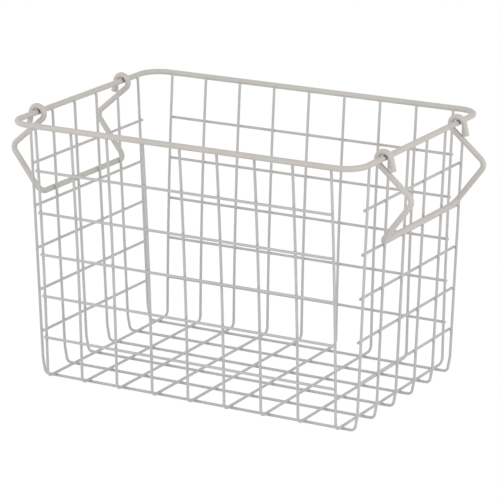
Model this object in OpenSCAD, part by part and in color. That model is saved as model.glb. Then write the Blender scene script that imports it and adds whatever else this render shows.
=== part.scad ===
/* [Rods] */
// Diameter of the thin mesh wire, with its coating
wire_d = 2.7; // [2:0.1:3.6]
// Diameter of the rim rod, with its coating
rim_d = 5.7; // [4.5:0.1:7]
// Diameter of the handle rod, with its coating
handle_d = 5.6; // [4.4:0.1:6.6]
// Gap left between two rods that are welded where they touch
weld_gap = 0.02; // [0.01:0.01:0.1]

/* [Basket] */
// Outside length of the rim
rim_len = 381.5; // [365:0.5:420]
// Outside width of the rim
rim_wid = 270; // [255:1:310]
// Height of the top of the rim above the ground
basket_h = 264.5; // [200:0.5:320]
// Centre-line radius of the rim's corners
rim_corner_r = 22; // [14:1:30]
// Outside length of the mesh at its foot, if the end walls ran straight down
foot_len = 352; // [340:1:366]
// Outside width of the mesh at its foot, without its rails
foot_wid = 232; // [220:1:250]
// Centre-line radius of the bend where a lengthwise wire turns up into an end wall
end_bend_r = 5; // [4:0.5:12]
// Height of the knee where a lengthwise wire comes into line with its end wall
knee_h = 17; // [12:0.5:26]
// How much more the wire leans below its knee
knee_angle = 8; // [2:0.5:12]
// Centre-line radius of the knee
knee_r = 16; // [8:1:30]
// Centre-line radius of the bend where a transverse wire turns up into a side wall
side_bend_r = 6.5; // [4:0.5:12]
// How far the end-wall wires meet the rim inboard of its centre line
end_inset = 3.3; // [3:0.1:4]
// How far the side-wall wires meet the rim inboard of its centre line
side_inset = 4; // [3:0.1:4]
// How far the side walls bow inward, halfway between the foot and the rim
side_bow = 2.3; // [1:0.1:4]

/* [Mesh] */
// Spacing of the base wires, both ways
mesh_pitch = 40; // [30:1:50]
// Spacing of the rails up the walls
rail_pitch = 42.6; // [30:0.1:60]
// Drop from the top of the rim to the centre of the highest rail
top_rail_drop = 48.5; // [35:0.5:60]
// How far a rail's cut end runs past the centre of the last wire it crosses
rail_overrun = 1; // [0.5:0.1:6]

/* [Handles] */
// Play between the rim rod and the inside of a handle's eye, across the diameter
eye_play = 3.3; // [1:0.1:6]
// Running clearance where the eye hangs on the rim
hang_gap = 0.3; // [0.1:0.05:0.45]
// Direction from the rim's centre to the hanging eye's centre, turned down from straight inboard
eye_hang_angle = 90; // [60:1:110]
// Length of the straight tail that leaves the eye
tail_len = 12.6; // [8:0.2:15]
// Lean of the tail outward from vertical
tail_lean = 13; // [5:1:20]
// Least gap between the tail's cut end and the upper arm, which shortens a tail that would pass it
tail_gap = 0.3; // [0.1:0.1:0.6]
// Dip of the upper arm below horizontal
arm_dip = 40.5; // [36:0.5:44]
// Distance of the elbow's corner out from the rim's centre line
elbow_out = 31; // [26:0.5:40]
// Centre-line radius of the elbow
elbow_r = 7.5; // [6:0.5:14]
// Drop from the rim's centre line to the grip's centre line
grip_drop = 80.8; // [70:0.2:100]
// Centre-line radius of the bend between arm and grip
grip_bend_r = 8.5; // [6:0.5:14]
// Clearance between the grip and the end wall that it rests against
grip_gap = 0.3; // [0.1:0.05:1]
// How far each arm stands inboard of the middle of its mesh gap
arm_shift = 2; // [-5:0.5:5]
// How far the right handle has slid along the rim, toward the back
right_slide = 1; // [-10:0.5:10]
// How far the left handle has slid along the rim, toward the front
left_slide = 3.5; // [-10:0.5:10]

/* [Hidden] */
// Facets round a rod and along a bend
rod_sides = 48;
bend_sides = 24;
$fn = rod_sides;
coat = [0.78, 0.765, 0.74];

wire_r = wire_d / 2;
rim_r = rim_d / 2;
handle_r = handle_d / 2;

// A ball this much wider than its rod covers the joint where a straight run leaves a bend
joint_swell = 0.02;

// Centre line of the rim
rim_x = rim_len / 2 - rim_r;
rim_y = rim_wid / 2 - rim_r;
rim_z = basket_h - rim_r;

// Two crossed layers of wire: lengthwise wires below, transverse wires on top
crossing = wire_d + weld_gap;
low_z = wire_r;
high_z = low_z + crossing;
end_foot_x = foot_len / 2 - wire_r;
side_foot_y = foot_wid / 2 - wire_r;

// The flat end of a wall wire stops where it touches the underside of the rim
function rim_touch_drop(inset) = sqrt(pow(rim_r + weld_gap, 2) - pow(inset - wire_r, 2));
end_top_x = rim_x - end_inset;
side_top_y = rim_y - side_inset;
end_top_z = rim_z - rim_touch_drop(end_inset);
side_top_z = rim_z - rim_touch_drop(side_inset);

// The end walls are straight above the knee and lean outward
end_lean = atan((end_top_x - end_foot_x) / (end_top_z - low_z));
function end_wall_x(z) = end_foot_x + (z - low_z) * tan(end_lean);

// Below the knee a lengthwise wire leans more, and its foot's corner lies further inboard.
// The knee rises where the two bends need more room
end_foot_lean = end_lean + knee_angle;
end_foot_turn = 90 - end_foot_lean;
end_foot_tangent = end_bend_r * tan(end_foot_turn / 2);
knee_tangent = knee_r * tan(knee_angle / 2);
knee_z = max(knee_h, low_z + (end_foot_tangent + wire_r + knee_tangent) * cos(end_foot_lean));
end_corner_x = end_wall_x(knee_z) - (knee_z - low_z) * tan(end_foot_lean);

// The side walls are arcs that bow inward, so their centre lies outside the wall.
// side_wall_y is their distance from the basket's middle, or that of a line further outside
side_foot = [side_foot_y, high_z];
side_top = [side_top_y, side_top_z];
side_chord = norm(side_top - side_foot);
side_outward = [side_top.y - side_foot.y, side_foot.x - side_top.x] / side_chord;
side_arc_r = pow(side_chord, 2) / (8 * side_bow) + side_bow / 2;
side_arc_c = (side_foot + side_top) / 2 + (side_arc_r - side_bow) * side_outward;
function side_wall_y(z, outside) =
    side_arc_c.x - sqrt(pow(side_arc_r - outside, 2) - pow(z - side_arc_c.y, 2));

// Where the foot bend of a transverse wire runs into its arcs
side_bend_z = high_z + side_bend_r;
side_bend_y = side_wall_y(side_bend_z, -side_bend_r);
side_foot_lean = asin((side_bend_z - side_arc_c.y) / (side_arc_r + side_bend_r));
side_top_lean = asin((side_top_z - side_arc_c.y) / side_arc_r);

// How many wires fit on the flat part of the base, either side of its middle
flat_x = end_corner_x - end_foot_tangent - wire_r;
flat_y = side_foot_y - side_bend_r - wire_r / 2;
across_half = floor(flat_x / mesh_pitch);
along_half = floor(flat_y / mesh_pitch + 0.5);
across_count = 2 * across_half + 1;
along_count = 2 * along_half;
function across_x(i) = (i - 1 - across_half) * mesh_pitch;
function along_y(i) = (i - 0.5 - along_half) * mesh_pitch;

// Rails, counted down from the rim to the knees and the side walls' foot bends
top_rail_z = basket_h - top_rail_drop;
lowest_rail_z = max(knee_z + knee_tangent, side_bend_z) + wire_d;
rail_count = floor((top_rail_z - lowest_rail_z) / rail_pitch) + 1;
function rail_z(i) = top_rail_z - (i - 1) * rail_pitch;
side_rail_half = across_half * mesh_pitch + rail_overrun;
end_rail_half = (along_half - 0.5) * mesh_pitch + rail_overrun;

// Handle outline seen from the front: u is outward from the rim's centre line, w is up
eye_r = rim_r + eye_play / 2 + handle_r;
eye_offset = eye_play / 2 - hang_gap;
eye_c = -eye_offset * [cos(eye_hang_angle), sin(eye_hang_angle)];
arm_dir = [cos(arm_dip), -sin(arm_dip)];
arm_start = eye_c - eye_r * [sin(arm_dip), cos(arm_dip)];
elbow = arm_start + arm_dir * (elbow_out - arm_start.x) / arm_dir.x;
grip_wall_x = end_wall_x(rim_z - grip_drop) + (wire_r + handle_r) / cos(end_lean);
grip = [grip_wall_x + grip_gap - rim_x, -grip_drop];
lower_arm = elbow - grip;
lower_angle = atan2(lower_arm.y, lower_arm.x);
elbow_turn = 180 - arm_dip - lower_angle;
elbow_tangent = elbow_r * tan(elbow_turn / 2);
lower_len = norm(lower_arm) - grip_bend_r - elbow_tangent;
arm_len = norm(elbow - arm_start) - elbow_tangent;
eye_turn = 270 - arm_dip - tail_lean;
tail_start = eye_c + eye_r * [cos(tail_lean), sin(tail_lean)];

// The longest tail whose cut end stays clear of the upper arm
tail_reach = ((eye_r - handle_r) * (1 + sin(arm_dip + tail_lean)) - tail_gap) / cos(arm_dip + tail_lean);
tail = min(tail_len, tail_reach);
tail_end = tail_start + tail * [sin(tail_lean), -cos(tail_lean)];
arm_y = (along_half - 1) * mesh_pitch - arm_shift;

function numbered(name, count) = [for (i = [1 : count]) str(name, "_", i)];

// One bend of rod, from +Z toward +X
module bend(d, r, angle) {
    translate([r, 0, 0])
        rotate([90, 0, 0])
            mirror([1, 0, 0])
                rotate_extrude(angle = angle, $fn = bend_sides * 360 / angle)
                    translate([r, 0])
                        circle(d = d, $fn = rod_sides);
}

// A rod made as a wire bender makes it, starting upward along +Z.
// Each step is [feed length, turn about the rod, bend angle, bend radius]
module bent_rod(d, steps, closed = false, i = 0) {
    if (i < len(steps)) {
        feed = steps[i][0];
        turn = steps[i][1];
        angle = steps[i][2];
        r = steps[i][3];
        if (feed > 0)
            cylinder(h = feed, d = d);
        if (angle > 0)
            translate([0, 0, feed])
                rotate([0, 0, turn]) {
                    bend(d, r, angle);
                    translate([r * (1 - cos(angle)), 0, r * sin(angle)])
                        rotate([0, angle, 0]) {
                            if (closed || i < len(steps) - 1)
                                sphere(d = d + joint_swell);
                            bent_rod(d, steps, closed, i + 1);
                        }
                }
    }
}

// A mesh wire in the XZ plane, bent from the top of one wall down, across the base and up
module wall_wire(top_x, top_z, top_lean, steps) {
    translate([-top_x, 0, top_z])
        rotate([0, 180 - top_lean, 0])
            bent_rod(wire_d, steps);
}

// The heavy rod round the top, one closed loop
module rim() {
    long_side = 2 * (rim_x - rim_corner_r);
    short_side = 2 * (rim_y - rim_corner_r);
    color(coat)
        translate([-long_side / 2, -rim_y, rim_z])
            rotate([0, 90, 0])
                bent_rod(rim_d, [
                    [long_side, 90, 90, rim_corner_r],
                    [short_side, 0, 90, rim_corner_r],
                    [long_side, 0, 90, rim_corner_r],
                    [short_side, 0, 90, rim_corner_r]
                ], closed = true);
}

// A wire across the basket's width with bowed legs, numbered from the left
module transverse_wire(i) {
    sweep = side_top_lean - side_foot_lean;
    foot_turn = 90 - side_foot_lean;
    color(coat)
        translate([across_x(i), 0, 0])
            rotate([0, 0, 90])
                wall_wire(side_top_y, side_top_z, side_top_lean, [
                    [0, 0, sweep, side_arc_r],
                    [0, 180, foot_turn, side_bend_r],
                    [2 * side_bend_y, 0, foot_turn, side_bend_r],
                    [0, 180, sweep, side_arc_r]
                ]);
}

// A wire along the basket's length with a knee in each leg, numbered from the front
module lengthwise_wire(i) {
    leg = (end_top_z - knee_z) / cos(end_lean) - knee_tangent;
    lower_leg = (knee_z - low_z) / cos(end_foot_lean) - knee_tangent - end_foot_tangent;
    color(coat)
        translate([0, along_y(i), 0])
            wall_wire(end_top_x, end_top_z, end_lean, [
                [leg, 180, knee_angle, knee_r],
                [lower_leg, 0, end_foot_turn, end_bend_r],
                [2 * (end_corner_x - end_foot_tangent), 0, end_foot_turn, end_bend_r],
                [lower_leg, 0, knee_angle, knee_r],
                [leg, 0, 0, 0]
            ]);
}

// A straight wire along a side wall's outer face, numbered from the top.
// side is -1 at the front and 1 at the back
module side_rail(i, side) {
    z = rail_z(i);
    y = side_wall_y(z, crossing);
    color(coat)
        translate([-side_rail_half, side * y, z])
            rotate([0, 90, 0])
                cylinder(h = 2 * side_rail_half, d = wire_d);
}

// A straight wire along an end wall's inner face, numbered from the top.
// side is -1 at the left and 1 at the right
module end_rail(i, side) {
    z = rail_z(i);
    x = end_wall_x(z) - crossing / cos(end_lean);
    color(coat)
        translate([side * x, end_rail_half, z])
            rotate([90, 0, 0])
                cylinder(h = 2 * end_rail_half, d = wire_d);
}

// One handle hung on the rim at the right end wall, made as one bent rod from tail to tail
module handle() {
    color(coat)
        translate([rim_x + tail_end.x, -arm_y, rim_z + tail_end.y])
            rotate([0, -tail_lean, 0])
                bent_rod(handle_d, [
                    [tail, 180, eye_turn, eye_r],
                    [arm_len, 180, elbow_turn, elbow_r],
                    [lower_len, 90, 90, grip_bend_r],
                    [2 * (arm_y - grip_bend_r), 0, 90, grip_bend_r],
                    [lower_len, -90, elbow_turn, elbow_r],
                    [arm_len, 180, eye_turn, eye_r],
                    [tail, 0, 0, 0]
                ]);
}

module right_handle() {
    translate([0, right_slide, 0])
        handle();
}

module left_handle() {
    translate([0, -left_slide, 0])
        mirror([1, 0, 0])
            handle();
}

rim();
for (i = [1 : across_count])
    transverse_wire(i);
for (i = [1 : along_count])
    lengthwise_wire(i);
for (i = [1 : rail_count]) {
    side_rail(i, -1);
    side_rail(i, 1);
    end_rail(i, -1);
    end_rail(i, 1);
}
left_handle();
right_handle();
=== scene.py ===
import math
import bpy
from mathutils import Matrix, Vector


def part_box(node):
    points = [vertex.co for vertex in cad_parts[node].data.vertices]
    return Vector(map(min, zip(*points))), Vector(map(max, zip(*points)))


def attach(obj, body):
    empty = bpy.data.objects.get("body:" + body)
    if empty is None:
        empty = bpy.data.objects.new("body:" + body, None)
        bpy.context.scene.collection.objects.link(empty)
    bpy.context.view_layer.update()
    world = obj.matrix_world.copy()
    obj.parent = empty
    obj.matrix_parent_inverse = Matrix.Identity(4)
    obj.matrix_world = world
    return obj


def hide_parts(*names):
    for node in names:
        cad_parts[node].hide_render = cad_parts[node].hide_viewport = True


bl_info = {
    "name": "Wire Locker Basket",
    "version": (1, 0, 0),
    "blender": (4, 5, 0),
    "location": "3D View > Sidebar > Basket",
    "description": "Dresses a welded wire basket with smooth coated rods, weld beads and swinging handles",
    "category": "Add Mesh",
}

import bmesh
import bpy
from bpy.props import FloatProperty, FloatVectorProperty, IntProperty, PointerProperty
from bpy.types import Operator, Panel, PropertyGroup
from mathutils import Matrix, Vector

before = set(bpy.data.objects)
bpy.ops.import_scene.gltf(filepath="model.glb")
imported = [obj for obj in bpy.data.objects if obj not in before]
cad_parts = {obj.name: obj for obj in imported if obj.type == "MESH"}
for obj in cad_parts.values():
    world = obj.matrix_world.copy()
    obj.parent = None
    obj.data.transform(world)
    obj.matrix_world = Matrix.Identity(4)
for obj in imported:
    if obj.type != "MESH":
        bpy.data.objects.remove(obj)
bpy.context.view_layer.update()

MM = 0.001
BASKET = "basket"
ACROSS = sorted(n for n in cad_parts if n.startswith("transverse_wire_"))
ALONG = sorted(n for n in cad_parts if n.startswith("lengthwise_wire_"))
RAILS = {side: sorted(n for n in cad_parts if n.startswith(f"{side}_rail_"))
         for side in ("front", "back", "left", "right")}
LAMP_PLACES = {
    "front": Vector((-0.6, -2.3, 0.8)),
    "right": Vector((2.3, -0.3, 0.8)),
    "left": Vector((-2.2, -0.9, 0.9)),
}
SENSOR_WIDTH = 36


def middle(node):
    """The centre of a node's box."""
    low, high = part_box(node)
    return (low + high) / 2


def thickness(node):
    """The height of a node that lies level, such as a rail or the rim."""
    low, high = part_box(node)
    return high.z - low.z


class RodSizes(PropertyGroup):
    """Rod thicknesses and bends that the frame's boxes don't give."""

    end_bend: FloatProperty(
        name="End bend", description="Centre-line radius where a lengthwise wire turns up from the base",
        default=5 * MM, min=4 * MM, max=20 * MM, unit="LENGTH", precision=4)
    knee_height: FloatProperty(
        name="Knee height", description="Height where a lengthwise wire comes into line with its end wall",
        default=17 * MM, min=12 * MM, max=30 * MM, unit="LENGTH", precision=4)
    knee_angle: FloatProperty(
        name="Knee angle", description="How much more the wire leans below its knee",
        default=math.radians(8), min=math.radians(2), max=math.radians(12), subtype="ANGLE")
    knee_bend: FloatProperty(
        name="Knee bend", description="Centre-line radius of the knee",
        default=16 * MM, min=8 * MM, max=30 * MM, unit="LENGTH", precision=4)
    side_bend: FloatProperty(
        name="Side bend", description="Centre-line radius where a transverse wire turns up from the base",
        default=6.5 * MM, min=4 * MM, max=20 * MM, unit="LENGTH", precision=4)
    rim_corner: FloatProperty(
        name="Rim corner", description="Centre-line radius of the rim's corners",
        default=22 * MM, min=10 * MM, max=60 * MM, unit="LENGTH", precision=4)
    cut_round: FloatProperty(
        name="Cut edge", description="How far the coating rounds the edge of a cut rod end",
        default=0.35 * MM, min=0.05 * MM, max=1 * MM, unit="LENGTH", precision=5)
    bead: FloatProperty(
        name="Weld bead", description="Radius of the small bead where two wires are welded",
        default=1.6 * MM, min=0.5 * MM, max=4 * MM, unit="LENGTH", precision=5)
    bead_flat: FloatProperty(
        name="Weld flatness", description="Thickness of a weld bead against its width", default=0.55, min=0.1, max=1)
    wire_sides: IntProperty(
        name="Wire sides", description="Faces round a mesh wire", default=20, min=8, max=64)
    rod_sides: IntProperty(
        name="Rod sides", description="Faces round the rim and the handles", default=36, min=12, max=96)


class HandleSizes(PropertyGroup):
    """The bent outline of one handle, seen from the front."""

    rod: FloatProperty(
        name="Rod", description="Diameter of the handle rod",
        default=5.6 * MM, min=3 * MM, max=8 * MM, unit="LENGTH", precision=4)
    eye_play: FloatProperty(
        name="Eye play", description="Inside diameter of the eye less the diameter of the rim rod",
        default=3.3 * MM, min=0.5 * MM, max=10 * MM, unit="LENGTH", precision=4)
    hang_gap: FloatProperty(
        name="Hang gap", description="Clearance where the eye hangs on the rim",
        default=0.3 * MM, min=0, max=2 * MM, unit="LENGTH", precision=5)
    hang_angle: FloatProperty(
        name="Hang angle", description="Direction from the rim's centre to the eye's centre, down from inboard",
        default=math.radians(90), subtype="ANGLE")
    tail_length: FloatProperty(
        name="Tail length", description="Straight tail that leaves the eye",
        default=12.6 * MM, min=2 * MM, max=40 * MM, unit="LENGTH", precision=4)
    tail_lean: FloatProperty(
        name="Tail lean", description="Lean of the tail outward from upright",
        default=math.radians(13), subtype="ANGLE")
    arm_dip: FloatProperty(
        name="Arm dip", description="Dip of the upper arm below level",
        default=math.radians(40.5), subtype="ANGLE")
    elbow_out: FloatProperty(
        name="Elbow reach", description="Distance of the elbow's corner out from the rim's centre line",
        default=31 * MM, min=10 * MM, max=80 * MM, unit="LENGTH", precision=4)
    elbow_bend: FloatProperty(
        name="Elbow bend", description="Centre-line radius of the elbow",
        default=7.5 * MM, min=4 * MM, max=30 * MM, unit="LENGTH", precision=4)
    grip_bend: FloatProperty(
        name="Grip bend", description="Centre-line radius between the lower arm and the grip",
        default=8.5 * MM, min=4 * MM, max=30 * MM, unit="LENGTH", precision=4)
    grip_gap: FloatProperty(
        name="Grip gap", description="Clearance between the grip and the end wall's wires",
        default=0.3 * MM, min=0, max=5 * MM, unit="LENGTH", precision=5)


class CoatLook(PropertyGroup):
    """The powder coating."""

    colour: FloatVectorProperty(
        name="Coat", description="Colour of the powder coating", subtype="COLOR", size=3,
        default=(0.602, 0.570, 0.540), min=0, max=1)
    mesh_colour: FloatVectorProperty(
        name="Mesh coat", description="Colour of the powder coating on the thin mesh wires", subtype="COLOR",
        size=3, default=(0.553, 0.552, 0.540), min=0, max=1)
    # Painted shade mixed with wear: the dark colour inside the handles' eyes stands partly for rubbed coating and
    # partly for the shade where eye and rim hide each other's light.
    rub_and_shade_colour: FloatVectorProperty(
        name="Rubbed coat", description="Colour where the handles' eyes have rubbed the coating",
        subtype="COLOR", size=3, default=(0.17, 0.135, 0.115), min=0, max=1)
    # Distances over which the painted shade and rub spots fade out round each eye.
    rub_and_shade_near: FloatProperty(
        name="Rub inner", description="Distance from an eye's place on the rim's centre line where the rubbing is full",
        default=3.6 * MM, min=1 * MM, max=20 * MM, unit="LENGTH", precision=4)
    rub_and_shade_far: FloatProperty(
        name="Rub outer", description="Distance from an eye's place on the rim's centre line where the rubbing ends",
        default=4.9 * MM, min=1 * MM, max=20 * MM, unit="LENGTH", precision=4)
    roughness: FloatProperty(
        name="Roughness", description="Roughness of the darkest coating", default=0.43, min=0, max=1)
    grain: FloatProperty(
        name="Grain", description="Size of the coating's fine orange-peel bumps",
        default=0.9 * MM, min=0.1 * MM, max=5 * MM, unit="LENGTH", precision=5)
    grain_height: FloatProperty(
        name="Grain height", description="Height of the orange-peel bumps",
        default=0.018 * MM, min=0, max=1 * MM, unit="LENGTH", precision=6)
    patch: FloatProperty(
        name="Patch size", description="Size of the broad patches of lighter and darker coating",
        default=70 * MM, min=5 * MM, max=1000 * MM, unit="LENGTH", precision=4)
    dust: FloatProperty(
        name="Dust size", description="Size of the small specks of lighter and darker coating",
        default=6 * MM, min=0.5 * MM, max=100 * MM, unit="LENGTH", precision=4)
    patch_share: FloatProperty(
        name="Patch share", description="Share of the unevenness that comes from the broad patches",
        default=0.7, min=0, max=1)
    darkest: FloatProperty(
        name="Darkest", description="Brightness of the darkest coating against its colour", default=0.955, min=0, max=1)
    lightest: FloatProperty(
        name="Lightest", description="Brightness of the lightest coating against its colour", default=1.03, min=1, max=2)
    gloss_drift: FloatProperty(
        name="Gloss drift", description="How far the roughness rises from dark to light coating",
        default=0.08, min=0, max=0.5)
    # How much of the painted shade and rub colour shows, from the lightest to the darkest spots.
    least_rub_and_shade: FloatProperty(
        name="Least rub", description="How much rubbed colour shows in the lightest rubbed spots",
        default=0.45, min=0, max=1)
    most_rub_and_shade: FloatProperty(
        name="Most rub", description="How much rubbed colour shows in the darkest rubbed spots",
        default=0.85, min=0, max=1)
    rub_polish: FloatProperty(
        name="Rub polish", description="How far rubbing lowers the roughness", default=0.12, min=0, max=0.4)


class StageLook(PropertyGroup):
    """Floor, light and camera."""

    floor: FloatProperty(
        name="Floor", description="Half length of the floor", default=4, min=1, max=20, unit="LENGTH")
    white: FloatProperty(
        name="Floor white", description="Brightness of the floor's own white", default=1.045, min=0, max=2)
    glow: FloatProperty(
        name="Floor glow", description="Share of the floor's white that is its own, so the rest shows the shadow",
        default=0.9, min=0, max=1)
    front: FloatProperty(
        name="Front light", description="Power of the soft light at the front", default=9.8, min=0, max=500)
    right: FloatProperty(
        name="Right light", description="Power of the soft light at the right", default=12.5, min=0, max=500)
    left: FloatProperty(
        name="Left light", description="Power of the soft light at the left", default=4, min=0, max=500)
    soft: FloatProperty(
        name="Light size", description="Width of each soft light", default=1.3, min=0.1, max=5, unit="LENGTH")
    sky: FloatProperty(
        name="Room light", description="Strength of the even light from all round", default=0.69, min=0, max=3)
    aim: FloatVectorProperty(
        name="Light aim", description="Point that the soft lights face", subtype="TRANSLATION", size=3,
        default=(0, 0, 0.13))
    camera_place: FloatVectorProperty(
        name="Camera place", description="Where the camera stands", subtype="TRANSLATION", size=3,
        default=(1.34, -2.379, 0.9226))
    camera_turn: FloatVectorProperty(
        name="Camera turn", description="The camera's rotation", subtype="EULER", size=3,
        default=(math.radians(73.765), math.radians(-0.03), math.radians(29.33)))
    camera_lens: FloatProperty(
        name="Lens", description="Focal length in millimetres", default=208.71, min=20, max=400)


def named(sockets, key):
    """A socket by its place, its name or, where names repeat, its identifier."""
    return next((s for s in sockets if s.identifier == key), None) or sockets[key]


class Value:
    """A number or colour in a material's node tree, which takes part in plain arithmetic."""

    def __init__(self, tree, socket):
        self.tree = tree
        self.socket = socket

    def math(self, operation, first, second=0.0):
        return self.tree.add("ShaderNodeMath", {"operation": operation}, [first, second])

    def __add__(self, other):
        return self.math("ADD", self, other)

    def __radd__(self, other):
        return self.math("ADD", other, self)

    def __sub__(self, other):
        return self.math("SUBTRACT", self, other)

    def __rsub__(self, other):
        return self.math("SUBTRACT", other, self)

    def __mul__(self, other):
        return self.math("MULTIPLY", self, other)

    def __rmul__(self, other):
        return self.math("MULTIPLY", other, self)

    def at_least(self, other):
        return self.math("MAXIMUM", self, other)

    def ramp(self, low, high):
        """0 below low, 1 above high and smooth between."""
        settings = {"interpolation_type": "SMOOTHSTEP"}
        return self.tree.add("ShaderNodeMapRange", settings, {"Value": self, "From Min": low, "From Max": high})


class Tree:
    """A material's nodes, cleared and ready to be filled."""

    def __init__(self, owner):
        owner.use_nodes = True
        self.nodes = owner.node_tree.nodes
        self.links = owner.node_tree.links
        self.nodes.clear()

    def add(self, kind, settings=None, inputs=(), output=0):
        """A node with its settings and inputs, as the value of one output."""
        node = self.nodes.new(kind)
        for name, value in (settings or {}).items():
            setattr(node, name, value)
        for key, value in (inputs.items() if isinstance(inputs, dict) else enumerate(inputs)):
            socket = named(node.inputs, key)
            if isinstance(value, Value):
                self.links.new(value.socket, socket)
            else:
                socket.default_value = value
        return Value(self, named(node.outputs, output)) if len(node.outputs) else None

    def noise(self, place, size, detail):
        """Soft noise from 0 to 1 whose features are about as large as size."""
        return self.add("ShaderNodeTexNoise", {}, {"Vector": place, "Scale": 1 / size, "Detail": detail})

    def mix(self, factor, first, second):
        """A colour between two colours."""
        sockets = {"Factor": factor, "A_Color": first, "B_Color": second}
        return self.add("ShaderNodeMix", {"data_type": "RGBA"}, sockets, output="Result_Color")


def rgba(colour):
    return (*colour, 1.0)


def shade(colour, by):
    """The same colour, lighter or darker."""
    return tuple(min(c * by, 1.0) for c in colour)


def powder_coat(name, colour, look, rub_and_shade_points=()):
    """Satin powder coating: fine orange peel, faint uneven tone and, near the given points, dark spots of rubbed
    coating mixed with painted shade where the handles' eyes hug the rim.
    """
    material = bpy.data.materials.new(name)
    tree = Tree(material)
    place = tree.add("ShaderNodeTexCoord", output="Object")
    patches = tree.noise(place, look.patch, 3)
    dust = tree.noise(place, look.dust, 4)
    peel = tree.noise(place, look.grain, 2)
    tone = patches.ramp(0.35, 0.65) * look.patch_share + dust.ramp(0.4, 0.7) * (1 - look.patch_share)
    base = tree.mix(tone, rgba(shade(colour, look.darkest)), rgba(shade(colour, look.lightest)))
    roughness = tone * look.gloss_drift + look.roughness
    # Dark spots round the eyes' places on the rim: partly rubbed coating, partly painted shade inside the handles'
    # eyes.
    if rub_and_shade_points:
        rubbed = None
        for point in rub_and_shade_points:
            away = tree.add("ShaderNodeVectorMath", {"operation": "DISTANCE"}, [place, point], output="Value")
            spot = 1 - (away + dust * MM).ramp(look.rub_and_shade_near, look.rub_and_shade_far)
            rubbed = spot if rubbed is None else rubbed.at_least(spot)
        patchy_rub_and_shade = rubbed * (dust.ramp(0.3, 0.6) * (look.most_rub_and_shade - look.least_rub_and_shade) + look.least_rub_and_shade)
        base = tree.mix(patchy_rub_and_shade, base, rgba(look.rub_and_shade_colour))
        roughness = roughness - patchy_rub_and_shade * look.rub_polish
    bump = tree.add("ShaderNodeBump", {}, {"Height": peel, "Strength": 1.0, "Distance": look.grain_height})
    surface = tree.add("ShaderNodeBsdfPrincipled", {}, {
        "Base Color": base, "Roughness": roughness, "Normal": bump, "IOR": 1.5})
    tree.add("ShaderNodeOutputMaterial", {}, [surface])
    return material


def swept_rod(mesh, diameter, steps, start, sides, cut_round=0.0):
    """Sweeps a ring of vertices through a wire bender's steps: feed, turn, bend angle and bend radius.
    With no cut_round the rod closes on itself."""
    closed = cut_round == 0.0
    here = start.copy()
    ring = bmesh.ops.create_circle(
        mesh, cap_ends=not closed, segments=sides, radius=diameter / 2, matrix=here)["verts"]
    first = list({e for v in ring for e in v.link_edges})
    edges = first
    for feed, turn, angle, radius in steps:
        if feed:
            grown = bmesh.ops.extrude_edge_only(mesh, edges=edges)["geom"]
            ring = [g for g in grown if isinstance(g, bmesh.types.BMVert)]
            bmesh.ops.translate(mesh, verts=ring, vec=here.to_3x3() @ Vector((0, 0, feed)))
            edges = [g for g in grown if isinstance(g, bmesh.types.BMEdge) and set(g.verts) <= set(ring)]
        here = here @ Matrix.Translation((0, 0, feed)) @ Matrix.Rotation(turn, 4, "Z")
        if angle:
            turned = bmesh.ops.spin(
                mesh, geom=ring + edges, cent=here @ Vector((radius, 0, 0)), axis=here.to_3x3() @ Vector((0, 1, 0)),
                angle=angle, steps=max(8, round(math.degrees(angle) / 5)), use_duplicate=False)["geom_last"]
            ring = [g for g in turned if isinstance(g, bmesh.types.BMVert)]
            edges = [g for g in turned if isinstance(g, bmesh.types.BMEdge)]
            here = (here @ Matrix.Translation((radius * (1 - math.cos(angle)), 0, radius * math.sin(angle)))
                    @ Matrix.Rotation(angle, 4, "Y"))
    if closed:
        bmesh.ops.remove_doubles(mesh, verts=mesh.verts, dist=0.001 * MM)
    else:
        bmesh.ops.edgeloop_fill(mesh, edges=edges)
        bmesh.ops.bevel(
            mesh, geom=first + edges, offset=cut_round, offset_type="OFFSET", affect="EDGES", segments=3,
            profile=0.5, material=-1)
    bmesh.ops.recalc_face_normals(mesh, faces=mesh.faces)


def finished_piece(name, mesh, material, body, nodes=()):
    """Turns a bmesh into a smooth-shaded piece that rides on a body and stands for CAD nodes."""
    data = bpy.data.meshes.new(name)
    for face in mesh.faces:
        face.smooth = len(face.verts) <= 4
    mesh.to_mesh(data)
    mesh.free()
    data.materials.append(material)
    piece = bpy.data.objects.new(name, data)
    bpy.context.scene.collection.objects.link(piece)
    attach(piece, body)
    if nodes:
        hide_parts(*nodes)
    return piece


def rod_coat(part):
    """The coating of the rim or a handle, with dark spots where the handles' eyes hang that are partly rubbed coating
    and partly painted shade inside the eyes. The rim's welds share the rim's.
    """
    look = bpy.context.scene.basket_coat
    half_x, _, height, _ = rim_line()
    handles = {"left_handle": -half_x, "right_handle": half_x}
    rub_and_shade_points = [Vector((x, y, height)) for handle, x in handles.items() if part in ("rim", handle)
                  for y in eye_places(handle)]
    name = "coat_" + part
    return bpy.data.materials.get(name) or powder_coat(name, look.colour, look, rub_and_shade_points)


def mesh_coat():
    """The coating that all the thin wires and their welds share."""
    look = bpy.context.scene.basket_coat
    return bpy.data.materials.get("coat_mesh") or powder_coat("coat_mesh", look.mesh_colour, look)


def rim_line():
    """Half length and half width of the rim's centre line, its height and its radius."""
    low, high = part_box("rim")
    radius = (high.z - low.z) / 2
    return high.x - radius, high.y - radius, (low.z + high.z) / 2, radius


class Wall:
    """The wires of one pair of walls, read from the boxes of the wires and of the rails across them."""

    def __init__(self, wires, rails, axis):
        low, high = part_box(wires[0])
        self.wire = thickness(rails[0])
        self.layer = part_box(ACROSS[0])[0].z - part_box(ALONG[0])[0].z
        self.base = low.z + self.wire / 2
        self.highest = high.z
        self.rails = [Vector((abs(middle(rail)[axis]), middle(rail).z)) for rail in (rails[0], rails[2], rails[-1])]


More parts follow.
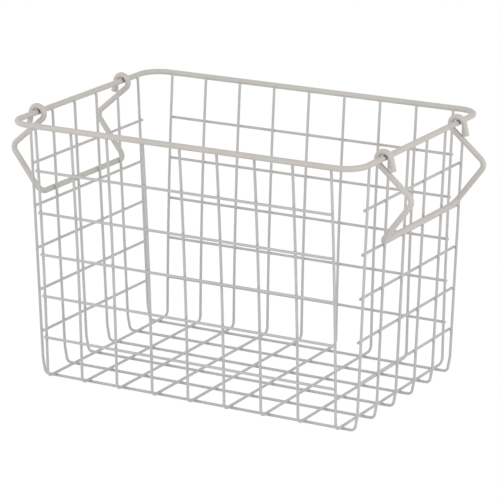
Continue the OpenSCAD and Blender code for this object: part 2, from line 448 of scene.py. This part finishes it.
class StraightWall(Wall):
    """An end wall: legs that lean outward, straight above a knee, with the rails inside."""

    def __init__(self):
        super().__init__(ALONG, RAILS["right"], 0)
        upper, _, lower = self.rails
        self.lean = math.atan2(upper.x - lower.x, upper.y - lower.y)
        self.top = self.highest - self.wire / 2 * math.sin(self.lean)
        self.foot_out = upper.x + self.layer / math.cos(self.lean) - (upper.y - self.base) * math.tan(self.lean)

    def out_at(self, height):
        """Distance of the wires' centre lines from the middle of the basket."""
        return self.foot_out + (height - self.base) * math.tan(self.lean)

    def lean_at(self, height):
        """Outward lean of the wires."""
        return self.lean

    def steps(self, sizes):
        knee = (sizes.knee_angle, sizes.knee_bend)
        foot_lean = self.lean + sizes.knee_angle
        foot = (math.pi / 2 - foot_lean, sizes.end_bend)
        foot_tangent = sizes.end_bend * math.tan(foot[0] / 2)
        knee_tangent = sizes.knee_bend * math.tan(sizes.knee_angle / 2)
        knee_rise = sizes.knee_height - self.base
        corner = self.out_at(sizes.knee_height) - knee_rise * math.tan(foot_lean)
        leg = (self.top - sizes.knee_height) / math.cos(self.lean) - knee_tangent
        lower_leg = knee_rise / math.cos(foot_lean) - knee_tangent - foot_tangent
        return [(leg, math.pi, *knee), (lower_leg, 0, *foot), (2 * (corner - foot_tangent), 0, *foot),
                (lower_leg, 0, *knee), (leg, 0, 0, 0)]


class BowedWall(Wall):
    """A side wall: legs on an arc that bows inward, with the rails outside."""

    def __init__(self):
        super().__init__(ACROSS, RAILS["back"], 1)
        upper, centre, lower = self.rails
        one = centre - upper
        two = lower - upper
        across = 2 * (one.x * two.y - one.y * two.x)
        rise = Vector((two.y * one.length_squared - one.y * two.length_squared,
                       one.x * two.length_squared - two.x * one.length_squared)) / across
        self.centre = upper + rise
        self.radius = rise.length + self.layer
        edge = self.wire / 2 / self.radius
        self.top = (self.highest + edge * self.centre.y) / (1 + edge)

    def out_at(self, height, inside=0.0):
        """Distance of the wires' centre lines, or of a line further inside, from the middle of the basket."""
        return self.centre.x - math.sqrt((self.radius + inside) ** 2 - (height - self.centre.y) ** 2)

    def lean_at(self, height, inside=0.0):
        """Outward lean of the wires."""
        return math.asin((height - self.centre.y) / (self.radius + inside))

    def steps(self, sizes):
        bend = sizes.side_bend
        bend_height = self.base + bend
        foot_lean = self.lean_at(bend_height, bend)
        sweep = self.lean_at(self.top) - foot_lean
        turn = math.pi / 2 - foot_lean
        flat = 2 * self.out_at(bend_height, bend)
        return [(0, 0, sweep, self.radius), (0, math.pi, turn, bend), (flat, 0, turn, bend),
                (0, math.pi, sweep, self.radius)]


def wall_wire(mesh, wall, sizes, place):
    """One wire down a wall, across the base and up the other wall, in the XZ plane of place."""
    start = (place @ Matrix.Translation((-wall.out_at(wall.top), 0, wall.top))
             @ Matrix.Rotation(math.pi - wall.lean_at(wall.top), 4, "Y"))
    swept_rod(mesh, wall.wire, wall.steps(sizes), start, sizes.wire_sides, sizes.cut_round)


def add_bead(mesh, centre, normal):
    """A flattened bead of weld, its thin way along normal."""
    sizes = bpy.context.scene.basket_rods
    turn = normal.to_track_quat("Z", "Y").to_matrix().to_4x4()
    shape = Matrix.Translation(centre) @ turn @ Matrix.Diagonal((1, 1, sizes.bead_flat, 1))
    bmesh.ops.create_uvsphere(mesh, u_segments=10, v_segments=6, radius=sizes.bead, matrix=shape)


class BASKET_OT_rim(Operator):
    """Add the heavy rod round the top"""

    bl_idname = "basket.rim"
    bl_label = "Rim"

    def execute(self, context):
        sizes = context.scene.basket_rods
        half_x, half_y, height, radius = rim_line()
        corner = sizes.rim_corner
        long_side = 2 * (half_x - corner)
        short_side = 2 * (half_y - corner)
        start = Matrix.Translation((-long_side / 2, -half_y, height)) @ Matrix.Rotation(math.pi / 2, 4, "Y")
        quarter = math.pi / 2
        steps = [(long_side, quarter, quarter, corner), (short_side, 0, quarter, corner),
                 (long_side, 0, quarter, corner), (short_side, 0, quarter, corner)]
        mesh = bmesh.new()
        swept_rod(mesh, 2 * radius, steps, start, sizes.rod_sides)
        finished_piece("rim_rod", mesh, rod_coat("rim"), BASKET, ["rim"])
        return {"FINISHED"}


class BASKET_OT_mesh_wires(Operator):
    """Add the long wires that form the walls and the base"""

    bl_idname = "basket.mesh_wires"
    bl_label = "Mesh Wires"

    def execute(self, context):
        sizes = context.scene.basket_rods
        coat = mesh_coat()
        for node in ACROSS:
            mesh = bmesh.new()
            place = Matrix.Translation((middle(node).x, 0, 0)) @ Matrix.Rotation(math.pi / 2, 4, "Z")
            wall_wire(mesh, BowedWall(), sizes, place)
            finished_piece("across_" + node.split("_")[-1], mesh, coat, BASKET, [node])
        for node in ALONG:
            mesh = bmesh.new()
            wall_wire(mesh, StraightWall(), sizes, Matrix.Translation((0, middle(node).y, 0)))
            finished_piece("along_" + node.split("_")[-1], mesh, coat, BASKET, [node])
        return {"FINISHED"}


class BASKET_OT_rails(Operator):
    """Add the straight wires welded across the walls"""

    bl_idname = "basket.rails"
    bl_label = "Rails"

    def execute(self, context):
        sizes = context.scene.basket_rods
        coat = mesh_coat()
        for side, nodes in RAILS.items():
            for node in nodes:
                low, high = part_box(node)
                centre = (low + high) / 2
                size = high - low
                if side in ("front", "back"):
                    start = Matrix.Translation((low.x, centre.y, centre.z)) @ Matrix.Rotation(math.pi / 2, 4, "Y")
                else:
                    start = Matrix.Translation((centre.x, high.y, centre.z)) @ Matrix.Rotation(math.pi / 2, 4, "X")
                mesh = bmesh.new()
                swept_rod(mesh, size.z, [(max(size), 0, 0, 0)], start, sizes.wire_sides, sizes.cut_round)
                finished_piece(f"{side}_bar_{node.split('_')[-1]}", mesh, coat, BASKET, [node])
        return {"FINISHED"}


class BASKET_OT_welds(Operator):
    """Add the weld beads at every crossing and along the rim"""

    bl_idname = "basket.welds"
    bl_label = "Welds"

    def execute(self, context):
        self.base_welds()
        ends = StraightWall()
        sides = BowedWall()
        xs = [middle(n).x for n in ACROSS]
        ys = [middle(n).y for n in ALONG]
        for side, sign in (("front", -1), ("back", 1)):
            self.wall_welds(side, sides, Vector((0, sign, 0)), [Vector((x, 0, 0)) for x in xs], -1)
        for side, sign in (("left", -1), ("right", 1)):
            self.wall_welds(side, ends, Vector((sign, 0, 0)), [Vector((0, y, 0)) for y in ys], 1)
        self.rim_welds(ends, sides, xs, ys)
        return {"FINISHED"}

    def base_welds(self):
        mesh = bmesh.new()
        level = (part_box(ALONG[0])[0].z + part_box(ACROSS[0])[0].z + thickness(RAILS["front"][0])) / 2
        for across in ACROSS:
            for along in ALONG:
                spot = Vector((middle(across).x, middle(along).y, level))
                add_bead(mesh, spot, Vector((0, 0, 1)))
        finished_piece("welds_base", mesh, mesh_coat(), BASKET)

    def wall_welds(self, side, wall, outward, places, rail_to_wire):
        """Beads between a wall's wires and its rails. rail_to_wire is 1 where the wires lie outside."""
        mesh = bmesh.new()
        for rail in RAILS[side]:
            centre = middle(rail)
            lean = wall.lean_at(centre.z)
            normal = outward * math.cos(lean) + Vector((0, 0, -math.sin(lean)))
            for place in places:
                rail_spot = place + outward * centre.dot(outward) + Vector((0, 0, centre.z))
                add_bead(mesh, rail_spot + normal * rail_to_wire * wall.layer / 2, normal)
        finished_piece("welds_" + side, mesh, mesh_coat(), BASKET)

    def rim_welds(self, ends, sides, xs, ys):
        half_x, half_y, height, radius = rim_line()
        mesh = bmesh.new()
        for sign in (-1, 1):
            for y in ys:
                self.rim_bead(mesh, Vector((sign * ends.out_at(ends.top), y, ends.top)),
                              Vector((sign * half_x, y, height)), radius)
            for x in xs:
                self.rim_bead(mesh, Vector((x, sign * sides.out_at(sides.top), sides.top)),
                              Vector((x, sign * half_y, height)), radius)
        finished_piece("welds_rim", mesh, rod_coat("rim"), BASKET)

    def rim_bead(self, mesh, wire_end, rim_centre, radius):
        toward = (wire_end - rim_centre).normalized()
        add_bead(mesh, rim_centre + toward * radius, toward)


def eye_places(node):
    """Where along the rim the two eyes of a handle hang."""
    low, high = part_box(node)
    half_rod = bpy.context.scene.basket_handle.rod / 2
    return low.y + half_rod, high.y - half_rod


class BASKET_OT_handles(Operator):
    """Add the two bent handles that hang on the rim"""

    bl_idname = "basket.handles"
    bl_label = "Handles"

    def execute(self, context):
        self.add_handle(context, "right_handle", 1)
        self.add_handle(context, "left_handle", -1)
        return {"FINISHED"}

    def add_handle(self, context, node, side):
        bends = context.scene.basket_handle
        sizes = context.scene.basket_rods
        half_x, half_y, rim_height, rim_radius = rim_line()
        wall = StraightWall()
        half_rod = bends.rod / 2
        eye_radius = rim_radius + bends.eye_play / 2 + half_rod
        hang = bends.eye_play / 2 - bends.hang_gap
        eye = -hang * Vector((math.cos(bends.hang_angle), math.sin(bends.hang_angle)))
        arm = Vector((math.cos(bends.arm_dip), -math.sin(bends.arm_dip)))
        arm_start = eye - eye_radius * Vector((math.sin(bends.arm_dip), math.cos(bends.arm_dip)))
        elbow = arm_start + arm * (bends.elbow_out - arm_start.x) / arm.x
        grip_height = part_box(node)[0].z + half_rod
        grip_out = wall.out_at(grip_height) + (wall.wire / 2 + half_rod) / math.cos(wall.lean) + bends.grip_gap
        lower = elbow - Vector((grip_out - half_x, grip_height - rim_height))
        lower_angle = math.atan2(lower.y, lower.x)
        elbow_turn = math.pi - bends.arm_dip - lower_angle
        elbow_tangent = bends.elbow_bend * math.tan(elbow_turn / 2)
        lower_length = lower.length - bends.grip_bend - elbow_tangent
        arm_length = (elbow - arm_start).length - elbow_tangent
        eye_turn = 1.5 * math.pi - bends.arm_dip - bends.tail_lean
        tail = Vector((math.sin(bends.tail_lean), -math.cos(bends.tail_lean))) * bends.tail_length
        tail_end = eye + eye_radius * Vector((math.cos(bends.tail_lean), math.sin(bends.tail_lean))) + tail
        near, far = eye_places(node)
        half_turn = math.pi
        quarter = math.pi / 2
        steps = [
            (bends.tail_length, half_turn, eye_turn, eye_radius),
            (arm_length, half_turn, elbow_turn, bends.elbow_bend),
            (lower_length, quarter, quarter, bends.grip_bend),
            (far - near - 2 * bends.grip_bend, 0, quarter, bends.grip_bend),
            (lower_length, -quarter, elbow_turn, bends.elbow_bend),
            (arm_length, half_turn, eye_turn, eye_radius),
            (bends.tail_length, 0, 0, 0),
        ]
        start = (Matrix.Translation((half_x + tail_end.x, near, rim_height + tail_end.y))
                 @ Matrix.Rotation(-bends.tail_lean, 4, "Y"))
        mesh = bmesh.new()
        swept_rod(mesh, bends.rod, steps, start, sizes.rod_sides, sizes.cut_round)
        if side < 0:
            bmesh.ops.scale(mesh, verts=mesh.verts, vec=(-1, 1, 1))
            bmesh.ops.reverse_faces(mesh, faces=mesh.faces)
        finished_piece(node + "_rod", mesh, rod_coat(node), node, [node])


def seen_directly(tree):
    """1 where a ray comes from the camera, a reflection or a clear surface, and 0 where it gathers light."""
    camera, glossy, through = (tree.add("ShaderNodeLightPath", output=f"Is {kind} Ray")
                               for kind in ("Camera", "Glossy", "Transmission"))
    return camera.at_least(glossy).at_least(through)


class BASKET_OT_stage(Operator):
    """Add the white floor, the soft lights and the camera"""

    bl_idname = "basket.stage"
    bl_label = "Stage"

    def execute(self, context):
        look = context.scene.basket_stage
        self.add_floor(context, look)
        self.add_world(context, look)
        self.add_lights(context, look)
        self.add_camera(context, look)
        context.scene.view_settings.view_transform = "Standard"
        return {"FINISHED"}

    def add_floor(self, context, look):
        mesh = bmesh.new()
        bmesh.ops.create_grid(mesh, x_segments=1, y_segments=1, size=look.floor)
        data = bpy.data.meshes.new("floor")
        mesh.to_mesh(data)
        mesh.free()
        floor = bpy.data.objects.new("floor", data)
        context.scene.collection.objects.link(floor)
        material = bpy.data.materials.new("white_floor")
        tree = Tree(material)
        matt = tree.add("ShaderNodeBsdfDiffuse", {}, {"Color": (0.9, 0.9, 0.9, 1)})
        glow = tree.add("ShaderNodeEmission", {}, {"Color": (1, 1, 1, 1), "Strength": look.white})
        both = tree.add("ShaderNodeMixShader", {}, [seen_directly(tree) * look.glow, matt, glow])
        tree.add("ShaderNodeOutputMaterial", {}, [both])
        data.materials.append(material)

    def add_world(self, context, look):
        world = bpy.data.worlds.new("studio")
        context.scene.world = world
        tree = Tree(world)
        strength = seen_directly(tree) * (1 - look.sky) + look.sky
        light = tree.add("ShaderNodeBackground", {}, {"Color": (1, 1, 1, 1), "Strength": strength})
        tree.add("ShaderNodeOutputWorld", {}, [light])

    def add_lights(self, context, look):
        for name, place in LAMP_PLACES.items():
            lamp = bpy.data.lights.new(name, "AREA")
            lamp.energy = getattr(look, name)
            lamp.size = look.soft
            holder = bpy.data.objects.new(name, lamp)
            holder.location = place
            holder.rotation_euler = (look.aim - place).to_track_quat("-Z", "Y").to_euler()
            context.scene.collection.objects.link(holder)

    def add_camera(self, context, look):
        data = bpy.data.cameras.new("camera")
        data.lens = look.camera_lens
        data.sensor_width = SENSOR_WIDTH
        camera = bpy.data.objects.new("camera", data)
        camera.location = look.camera_place
        camera.rotation_euler = look.camera_turn
        context.scene.collection.objects.link(camera)
        context.scene.camera = camera


OPERATORS = (BASKET_OT_rim, BASKET_OT_mesh_wires, BASKET_OT_rails, BASKET_OT_welds, BASKET_OT_handles,
             BASKET_OT_stage)
SETTINGS = {"basket_rods": RodSizes, "basket_handle": HandleSizes, "basket_coat": CoatLook, "basket_stage": StageLook}


class BASKET_PT_panel(Panel):
    """Buttons and sizes in the sidebar"""

    bl_idname = "BASKET_PT_panel"
    bl_label = "Wire Locker Basket"
    bl_space_type = "VIEW_3D"
    bl_region_type = "UI"
    bl_category = "Basket"

    def draw(self, context):
        for operator in OPERATORS:
            self.layout.operator(operator.bl_idname)
        for name, group in SETTINGS.items():
            box = self.layout.box()
            for field in group.__annotations__:
                box.prop(getattr(context.scene, name), field)


def register():
    for group in SETTINGS.values():
        bpy.utils.register_class(group)
    for name, group in SETTINGS.items():
        setattr(bpy.types.Scene, name, PointerProperty(type=group))
    for operator in OPERATORS:
        bpy.utils.register_class(operator)
    bpy.utils.register_class(BASKET_PT_panel)


def unregister():
    bpy.utils.unregister_class(BASKET_PT_panel)
    for operator in reversed(OPERATORS):
        bpy.utils.unregister_class(operator)
    for name in SETTINGS:
        delattr(bpy.types.Scene, name)
    for group in reversed(SETTINGS.values()):
        bpy.utils.unregister_class(group)


def main():
    register()
    bpy.ops.basket.rim()
    bpy.ops.basket.mesh_wires()
    bpy.ops.basket.rails()
    bpy.ops.basket.welds()
    bpy.ops.basket.handles()
    bpy.ops.basket.stage()


if __name__ == "__main__":
    main()
